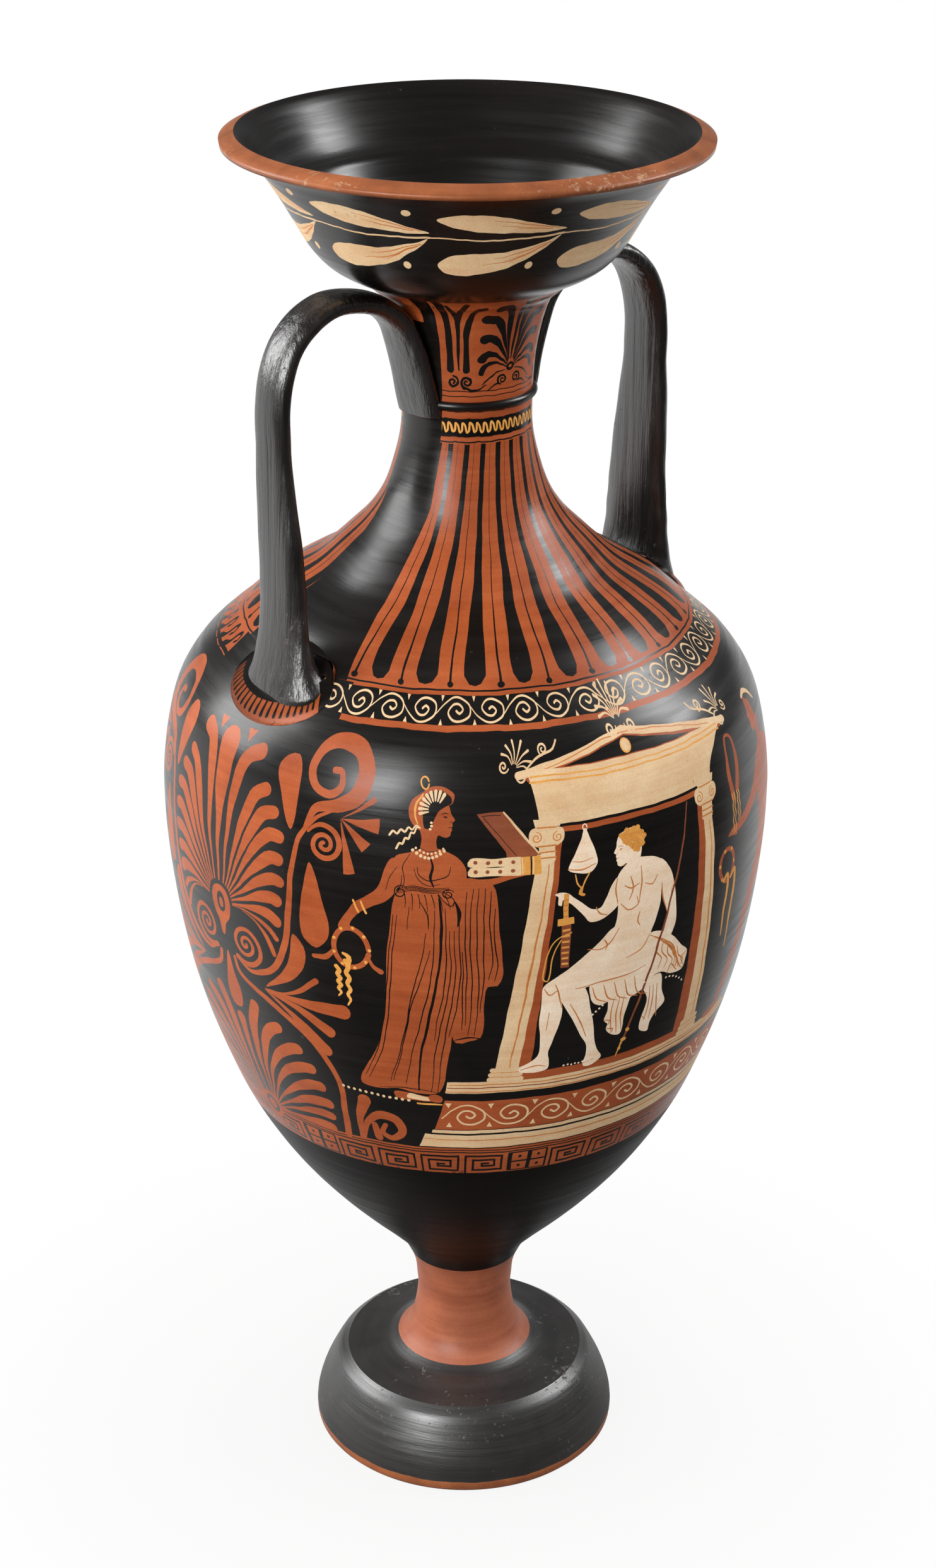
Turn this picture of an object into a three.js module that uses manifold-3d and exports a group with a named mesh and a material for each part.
// A red-figure amphora: a tall two-handled jar, thrown on the wheel in sections that are luted together with slip.
// From the floor up: a hollow disc foot, a slender stem, the bowl, the belly, the sloping shoulder, the neck with
// a coil laid over its seam, and the flaring mouth. Two strap handles run from the neck over to the shoulder,
// where a flattened coil packs the root of each. Millimetres, +Z up, origin on the floor under the middle of the
// foot. The picture side of the jar faces -Y and the handles stand along X.
import * as THREE from 'three';
import Module from 'manifold-3d';
import { mergeVertices } from 'three/addons/utils/BufferGeometryUtils.js';

// Heights of the sections, stacked from the floor
const footHeight = 63.5;
const stemHeight = 70.5;
const bowlHeight = 145.5;
const bellyHeight = 321.5;
const shoulderHeight = 142;
const neckHeight = 64;
const mouthHeight = 93;

// Outside radii at the seams and at the widest and narrowest places
const footRadius = 104;
const footTopRadius = 81.7;
const footTopDrop = 9;
const stemFootRadius = 45.6;
const stemWaistRadius = 31.7;
const stemTopRadius = 37.4;
const bowlTopRadius = 147;
const bellyRadius = 191.8;
const bellyTopRadius = 139.9;
const neckFootRadius = 39.9;
const neckTopRadius = 57;
const lipRadius = 149.5;
const lipInnerRadius = 136.9;

// Walls and the seams between sections
const wall = 8;
const neckWall = 6.5;
const mouthWall = 7;
const slipGap = 0.3;
const lapHeight = 5;
const floorThickness = 16;
const stemBoreRadius = 18;
const stemTenonRadius = 26;
const bowlTenonLength = 12;
const restingRingWidth = 13;
const footRecessDepth = 46;

// The coil over the neck seam
const collarHeight = 5.6;
const collarBulge = 2.6;

// The strap handles
const handleReach = 146;
const handleNeckWidth = 38;
const leftStrapWidth = 26;
const rightStrapWidth = 29;
const strapThickness = 12;
const handleRootWidth = 60;
const handleRootThickness = 42;
const handleRootDepth = 26;

// The flattened coil round each handle root
const rootCoilRadius = 34;
const rootCoilWidth = 12;
const rootCoilThickness = 4.5;

// How finely the round surfaces are divided
const turns = 36;
const strapSides = 12;
const strapStations = 24;
const rootCoilStations = 28;
const rootCoilSides = 8;
const collarSides = 6;

// Heights of the seams, from the floor
const stemBase = footHeight;
const bowlBase = stemBase + stemHeight;
const bellyBase = bowlBase + bowlHeight;
const shoulderBase = bellyBase + bellyHeight;
const neckBase = shoulderBase + shoulderHeight;
const mouthBase = neckBase + neckHeight;
const rim = mouthBase + mouthHeight;

// Outlines as [height share, radius share], each from its lower end to its upper end
const footSideShares = [[0, 0.985], [0.11, 1], [0.257, 0.99], [0.514, 0.9375], [0.77, 0.865], [1, 0.786]];
const footTopShares = [[0.39, 0.55]];
const footRecessShares = [[0, 1], [0.26, 0.965], [0.6, 0.87], [0.9, 0.67], [1, 0.4]];
const stemShares = [[0.064, 0.655], [0.163, 0.345], [0.376, 0.094], [0.574, 0], [0.688, 0.05], [0.83, 0.122]];
const bowlShares = [[0, 0], [0.076, 0.053], [0.179, 0.173], [0.316, 0.349], [0.454, 0.515], [0.625, 0.698],
  [0.797, 0.852], [1, 1]];
const bellyCrownShare = 0.636;
const bellyLowerShares = [[0.149, 0.277], [0.32, 0.542], [0.491, 0.741], [0.687, 0.893], [0.883, 0.984], [1, 1]];
const bellyUpperShares = [[0.137, 0.006], [0.393, 0.083], [0.607, 0.218], [0.778, 0.46], [0.863, 0.651],
  [0.949, 0.875], [1, 1]];
const shoulderShares = [[0.0986, 0.842], [0.169, 0.686], [0.239, 0.523], [0.345, 0.359], [0.451, 0.211],
  [0.556, 0.114], [0.697, 0.044], [0.838, 0.002], [1, 0]];
const neckShares = [[0.22, 0.04], [0.42, 0.123], [0.734, 0.38], [0.92, 0.66], [1, 1]];
const mouthWallShares = [[0.043, 0.097], [0.097, 0.187], [0.183, 0.309], [0.29, 0.404], [0.441, 0.497],
  [0.591, 0.59], [0.742, 0.692], [0.828, 0.768]];
const lipShares = [[0.871, 0.865], [0.887, 0.94], [0.914, 0.989], [0.946, 1], [0.984, 0.978], [1, 0.93]];

/** Outline points from shares of a height range and of a radius range. */
function outline(shares, z0, z1, rAt0, rAt1) {
  return shares.map(([h, r]) => [rAt0 + (rAt1 - rAt0) * r, z0 + (z1 - z0) * h]);
}

/** Radius of an outline at a height, straight between its points. */
function radiusAt(points, z) {
  const k = Math.max(1, points.findIndex(([, height]) => height >= z));
  const [r0, z0] = points[k - 1];
  const [r1, z1] = points[k];
  return r0 + (r1 - r0) * (z - z0) / (z1 - z0);
}

/** Outline moved along its radius, so that its distance measured square to the surface is the given one. */
function movedBy(points, distance) {
  return points.map(([r, z], i) => {
    const [ra, za] = points[Math.max(0, i - 1)];
    const [rb, zb] = points[Math.min(points.length - 1, i + 1)];
    return [r + distance(z) * Math.hypot(1, (rb - ra) / (zb - za)), z];
  });
}

/** Part of an outline between two heights, with its ends exactly there. */
function between(points, low, high) {
  const kept = points.filter(([, z]) => z > low && z < high);
  return [[radiusAt(points, low), low], ...kept, [radiusAt(points, high), high]];
}

/** Lathe solid about Z from [radius, height] points that go up the outside and down the inside. */
function turned(points) {
  const onAxis = points[0][0] === 0;
  const closed = onAxis ? points : [...points, points[0]];
  const geometry = new THREE.LatheGeometry(closed.map(([r, z]) => new THREE.Vector2(r, z)), turns);
  return geometry.rotateX(Math.PI / 2);
}

// The outside from the bowl to the neck is one outline, so neighbours meet at their seams
const bellyCrown = bellyBase + bellyHeight * bellyCrownShare;
const bodyOuter = [
  ...outline(bowlShares, bowlBase, bellyBase, stemTopRadius, bowlTopRadius),
  ...outline(bellyLowerShares, bellyBase, bellyCrown, bowlTopRadius, bellyRadius),
  ...outline(bellyUpperShares, bellyCrown, shoulderBase, bellyRadius, bellyTopRadius),
  ...outline(shoulderShares, shoulderBase, neckBase, neckFootRadius, bellyTopRadius),
  ...outline(neckShares, neckBase, mouthBase, neckFootRadius, neckTopRadius),
];
const bodyInner = movedBy(bodyOuter, (z) => (z < neckBase ? -wall : -neckWall));
const mouthFlare = outline(mouthWallShares, mouthBase, rim, neckTopRadius, lipRadius);

/** Radius of the lap between two sections at a height above its seam; it never leans out, so it can be fitted. */
function lapRadius(seam, z) {
  const middle = (height) => (radiusAt(bodyOuter, height) + radiusAt(bodyInner, height)) / 2;
  return Math.min(middle(seam), middle(z));
}

/** The tongue on the inner half of a section's top edge, from the seam up. */
function tongue(seam) {
  const top = seam + lapHeight;
  return [
    [lapRadius(seam, seam) - slipGap / 2, seam],
    [lapRadius(seam, top) - slipGap / 2, top],
    [radiusAt(bodyInner, top), top],
  ];
}

/** The rebate inside a section's bottom edge, over the tongue below it, from its ledge down. */
function rebate(seam) {
  const ledge = seam + lapHeight + slipGap;
  return [
    [radiusAt(bodyInner, ledge), ledge],
    [lapRadius(seam, ledge) + slipGap / 2, ledge],
    [lapRadius(seam, seam) + slipGap / 2, seam],
  ];
}

/** A thrown wall between two seams, with a rebate below and a tongue above. */
function thrownWall(low, high) {
  const top = high + lapHeight;
  const ledge = low + lapHeight + slipGap;
  const inside = bodyInner.filter(([, z]) => z > ledge && z < top).reverse();
  return turned([...between(bodyOuter, low, high), ...tongue(high), ...inside, ...rebate(low)]);
}

/** The disc foot: a rounded drum with a sloping top, hollowed from below and bored for the stem's tenon. */
function foot() {
  const edge = footHeight - footTopDrop;
  const side = outline(footSideShares, 0, edge, 0, footRadius).slice(0, -1);
  const top = outline(footTopShares, edge, footHeight, footTopRadius, stemFootRadius);
  const recess = outline(footRecessShares, 0, footRecessDepth, 0, footRadius - restingRingWidth);
  const bore = stemTenonRadius + slipGap;
  return turned([
    ...side,
    [footTopRadius, edge],
    ...top,
    [stemFootRadius, footHeight],
    [bore, footHeight],
    [bore, footRecessDepth],
    ...recess.reverse(),
  ]);
}

/** The stem: waisted outside and bored through, with a tenon for the foot and a socket for the bowl's tenon. */
function stem() {
  return turned([
    [stemBoreRadius, footRecessDepth],
    [stemTenonRadius, footRecessDepth],
    [stemTenonRadius, stemBase],
    [stemFootRadius, stemBase],
    ...outline(stemShares, stemBase, bowlBase, stemWaistRadius, stemFootRadius),
    [stemTopRadius, bowlBase],
    [stemBoreRadius, bowlBase],
  ]);
}

/** The bowl: a closed floor over a short tenon, with a tongue round its top edge. */
function bowl() {
  const floor = bowlBase + floorThickness;
  const tenon = stemBoreRadius - slipGap;
  const inside = bodyInner.filter(([, z]) => z > floor && z < bellyBase + lapHeight).reverse();
  return turned([
    [0, bowlBase - bowlTenonLength],
    [tenon, bowlBase - bowlTenonLength],
    [tenon, bowlBase],
    ...between(bodyOuter, bowlBase, bellyBase),
    ...tongue(bellyBase),
    ...inside,
    [radiusAt(bodyInner, floor), floor],
    [0, floor],
  ]);
}

/** The neck: rebated over the shoulder's tongue, with a plain top edge that carries the mouth. */
function neck() {
  const ledge = neckBase + lapHeight + slipGap;
  const inside = bodyInner.filter(([, z]) => z > ledge && z <= mouthBase).reverse();
  return turned([...between(bodyOuter, neckBase, mouthBase), ...inside, ...rebate(neckBase)]);
}

/** The mouth: a flaring bowl with an overhanging lip, seated on the neck's top edge. */
function mouth() {
  const inside = movedBy([[neckTopRadius, mouthBase], ...mouthFlare], () => -mouthWall).slice(1).reverse();
  return turned([
    [neckTopRadius, mouthBase],
    ...mouthFlare,
    ...outline(lipShares, mouthBase, rim, neckTopRadius, lipRadius),
    [lipInnerRadius, rim],
    ...inside,
    [radiusAt(bodyInner, mouthBase), mouthBase],
  ]);
}

/** The coil laid over the neck seam, half round in section. */
function neckCollar() {
  const low = neckBase - collarHeight / 2;
  const high = neckBase + collarHeight / 2;
  const bulge = Array.from({ length: collarSides + 1 }, (_, i) => {
    const a = Math.PI * (i / collarSides - 1 / 2);
    return [neckFootRadius + 2 * slipGap + collarBulge * Math.cos(a), neckBase + collarHeight / 2 * Math.sin(a)];
  });
  return turned([...bulge, [radiusAt(bodyOuter, high) + slipGap, high], [radiusAt(bodyOuter, low) + slipGap, low]]);
}

const wasm = await Module();
wasm.setup();

/** A closed geometry as a solid that can be joined and cut. */
function solidOf(geometry) {
  geometry.deleteAttribute('normal');
  geometry.deleteAttribute('uv');
  const merged = mergeVertices(geometry);
  return new wasm.Manifold(new wasm.Mesh({
    numProp: 3,
    vertProperties: new Float32Array(merged.attributes.position.array),
    triVerts: new Uint32Array(merged.index.array),
  }));
}

/** A solid back as a geometry. */
function geometryOf(solid) {
  const { vertProperties, triVerts } = solid.getMesh();
  const geometry = new THREE.BufferGeometry();
  geometry.setAttribute('position', new THREE.BufferAttribute(new Float32Array(vertProperties), 3));
  geometry.setIndex(new THREE.BufferAttribute(new Uint32Array(triVerts), 1));
  geometry.computeVertexNormals();
  return geometry;
}

/** What the jar fills without its handles, grown by the slip gap and solid to the axis, to trim what is laid on. */
function jarKeepout() {
  const grown = movedBy([...bodyOuter, ...mouthFlare], () => slipGap);
  const low = neckBase - collarHeight / 2 - slipGap;
  const high = neckBase + collarHeight / 2 + slipGap;
  const ring = neckFootRadius + collarBulge + 3 * slipGap;
  const top = grown[grown.length - 1][1];
  return solidOf(turned([
    [0, bowlBase],
    ...between(grown, bowlBase, low),
    [ring, low],
    [ring, high],
    ...between(grown, high, top),
    [0, top],
  ]));
}

/** A closed tube through rings of points, each ring given in order round the section. */
function tubeThrough(rings, closed) {
  const sides = rings[0].length;
  const count = rings.length;
  const index = [];
  const at = (i, k) => (i % count) * sides + (k % sides);
  for (let i = 0; i < (closed ? count : count - 1); i += 1) {
    for (let k = 0; k < sides; k += 1) {
      index.push(at(i, k), at(i + 1, k + 1), at(i, k + 1));
      index.push(at(i, k), at(i + 1, k), at(i + 1, k + 1));
    }
  }
  for (let k = 1; !closed && k < sides - 1; k += 1) {
    index.push(at(0, 0), at(0, k), at(0, k + 1));
    index.push(at(count - 1, 0), at(count - 1, k + 1), at(count - 1, k));
  }
  const geometry = new THREE.BufferGeometry();
  const positions = rings.flat().flatMap((p) => [p.x, p.y, p.z]);
  geometry.setAttribute('position', new THREE.Float32BufferAttribute(positions, 3));
  geometry.setIndex(index);
  return geometry;
}

// The strap's centreline: along the neck and over to its reach, as shares of reach and of neck height, then down
// towards the shoulder, as shares of the reach and of the drop from the neck seam to the root
const overNeckShares = [[-0.065, -0.078], [0.01, 0.234], [0.076, 0.547], [0.152, 0.8125], [0.284, 0.992],
  [0.453, 1.078], [0.623, 1.086], [0.774, 0.984], [0.896, 0.797], [0.967, 0.547], [1, 0.234]];
const dropShares = [[1, 0.947], [0.993, 0.75], [0.986, 0.553], [0.983, 0.355], [0.993, 0.158]];
const rootReachShare = 1.02;
const strapFlareShare = 0.55;
const strapPadShare = 0.25;
const strapSquareness = 0.7;

// The body's outline from the neck down, and where the strap's centreline meets it
const rootRadius = handleReach * rootReachShare;
const downOutline = [...bodyOuter].reverse();
const rootStep = downOutline.findIndex(([r, z]) => z < neckBase && r >= rootRadius);

/** Point and outward normal of the body's outline at a distance along it, down from the handle root. */
function onBody(distance) {
  const back = distance < 0 ? -1 : 1;
  let left = Math.abs(distance);
  let [r, z] = rootPoint;
  for (let k = rootStep - (back < 0 ? 1 : 0); ; k += back) {
    const [nextR, nextZ] = downOutline[k];
    const length = Math.hypot(nextR - r, nextZ - z);
    const last = downOutline[k + back] === undefined;
    if (length > 0 && (left <= length || last)) {
      const share = left / length;
      const normal = [-back * (nextZ - z) / length, back * (nextR - r) / length];
      return { r: r + (nextR - r) * share, z: z + (nextZ - z) * share, normal };
    }
    left -= length;
    [r, z] = [nextR, nextZ];
  }
}

/** The point of an outline's step where it reaches a radius. */
function reachesRadius([r0, z0], [r1, z1], radius) {
  return [radius, z0 + (z1 - z0) * (radius - r0) / (r1 - r0)];
}

const rootPoint = reachesRadius(downOutline[rootStep - 1], downOutline[rootStep], rootRadius);
const rootHeight = rootPoint[1];

/** Width and thickness of a strap at a share of its length: broad on the neck, slim, then flared at the root. */
function strapSize(t, slimWidth) {
  const toNeck = THREE.MathUtils.smoothstep(strapPadShare - t, 0, strapPadShare);
  const toRoot = Math.max(0, (t - strapFlareShare) / (1 - strapFlareShare)) ** 2;
  const width = slimWidth + (handleNeckWidth - slimWidth) * toNeck + (handleRootWidth - slimWidth) * toRoot;
  return [width, strapThickness + (handleRootThickness - strapThickness) * toRoot];
}

/** A whole strap, grown by a margin, before the jar trims its ends; side is -1 at the left and 1 at the right. */
function strap(side, slimWidth, margin) {
  const neckPoints = overNeckShares.map(([reach, height]) => new THREE.Vector3(
    neckFootRadius + (handleReach - neckFootRadius) * reach, 0, neckBase + neckHeight * height));
  const dropPoints = dropShares.map(([reach, height]) => new THREE.Vector3(
    handleReach * reach, 0, rootHeight + (neckBase - rootHeight) * height));
  const { r, z, normal } = onBody(0);
  const rootPoints = [0, handleRootDepth].map((depth) => new THREE.Vector3(
    r - normal[0] * depth, 0, z - normal[1] * depth));
  const path = new THREE.CatmullRomCurve3([...neckPoints, ...dropPoints, ...rootPoints]);
  const bent = (v) => Math.sign(v) * Math.abs(v) ** strapSquareness;
  const rings = Array.from({ length: strapStations + 1 }, (_, i) => {
    const t = i / strapStations;
    const centre = path.getPointAt(t);
    const along = path.getTangentAt(t);
    const [width, thickness] = strapSize(t, slimWidth);
    return Array.from({ length: strapSides }, (__, k) => {
      const a = 2 * Math.PI * (k + 1 / 2) / strapSides;
      const out = bent(Math.cos(a)) * (thickness / 2 + margin);
      const across = bent(Math.sin(a)) * (width / 2 + margin);
      return new THREE.Vector3(side * (centre.x - along.z * out), side * across, centre.z + along.x * out);
    });
  });
  return solidOf(tubeThrough(rings, false));
}

/** The flattened coil round a handle root, laid on the shoulder, before the jar and the strap trim it. */
function rootCoil(side) {
  const rings = Array.from({ length: rootCoilStations }, (_, i) => {
    const a = side * 2 * Math.PI * i / rootCoilStations;
    return Array.from({ length: rootCoilSides }, (__, k) => {
      const b = 2 * Math.PI * k / rootCoilSides;
      const reach = rootCoilRadius + rootCoilWidth / 2 * Math.cos(b);
      const lift = rootCoilThickness * Math.sin(b);
      const { r, z, normal } = onBody(reach * Math.cos(a));
      const angle = reach * Math.sin(a) / rootRadius;
      const out = r + lift * normal[0];
      return new THREE.Vector3(side * out * Math.cos(angle), out * Math.sin(angle), z + lift * normal[1]);
    });
  });
  return solidOf(tubeThrough(rings, true));
}

const keepout = jarKeepout();

/** The largest piece of a solid that a cut may have left in several. */
function mainPiece(solid) {
  return solid.decompose().sort((a, b) => b.volume() - a.volume())[0];
}

const handle = (side, width) => geometryOf(mainPiece(strap(side, width, 0).subtract(keepout)));
const rootFillet = (side, width) => geometryOf(mainPiece(
  rootCoil(side).subtract(keepout).subtract(strap(side, width, slipGap))));

const blackGloss = new THREE.MeshStandardMaterial({ color: 0x1d1b1a, roughness: 0.32, metalness: 0 });
const reservedClay = new THREE.MeshStandardMaterial({ color: 0xb4562f, roughness: 0.55, metalness: 0 });
const bareClay = new THREE.MeshStandardMaterial({ color: 0xb86a45, roughness: 0.75, metalness: 0 });

const amphora = new THREE.Group();
const pieces = [
  ['foot', foot(), blackGloss],
  ['stem', stem(), bareClay],
  ['bowl', bowl(), blackGloss],
  ['belly', thrownWall(bellyBase, shoulderBase), reservedClay],
  ['shoulder', thrownWall(shoulderBase, neckBase), reservedClay],
  ['neck_collar', neckCollar(), blackGloss],
  ['neck', neck(), reservedClay],
  ['mouth', mouth(), blackGloss],
  ['handle_left', handle(-1, leftStrapWidth), blackGloss],
  ['handle_right', handle(1, rightStrapWidth), blackGloss],
  ['root_fillet_left', rootFillet(-1, leftStrapWidth), reservedClay],
  ['root_fillet_right', rootFillet(1, rightStrapWidth), reservedClay],
];
for (const [name, geometry, material] of pieces) {
  const mesh = new THREE.Mesh(geometry, material);
  mesh.name = name;
  amphora.add(mesh);
}

export default amphora;
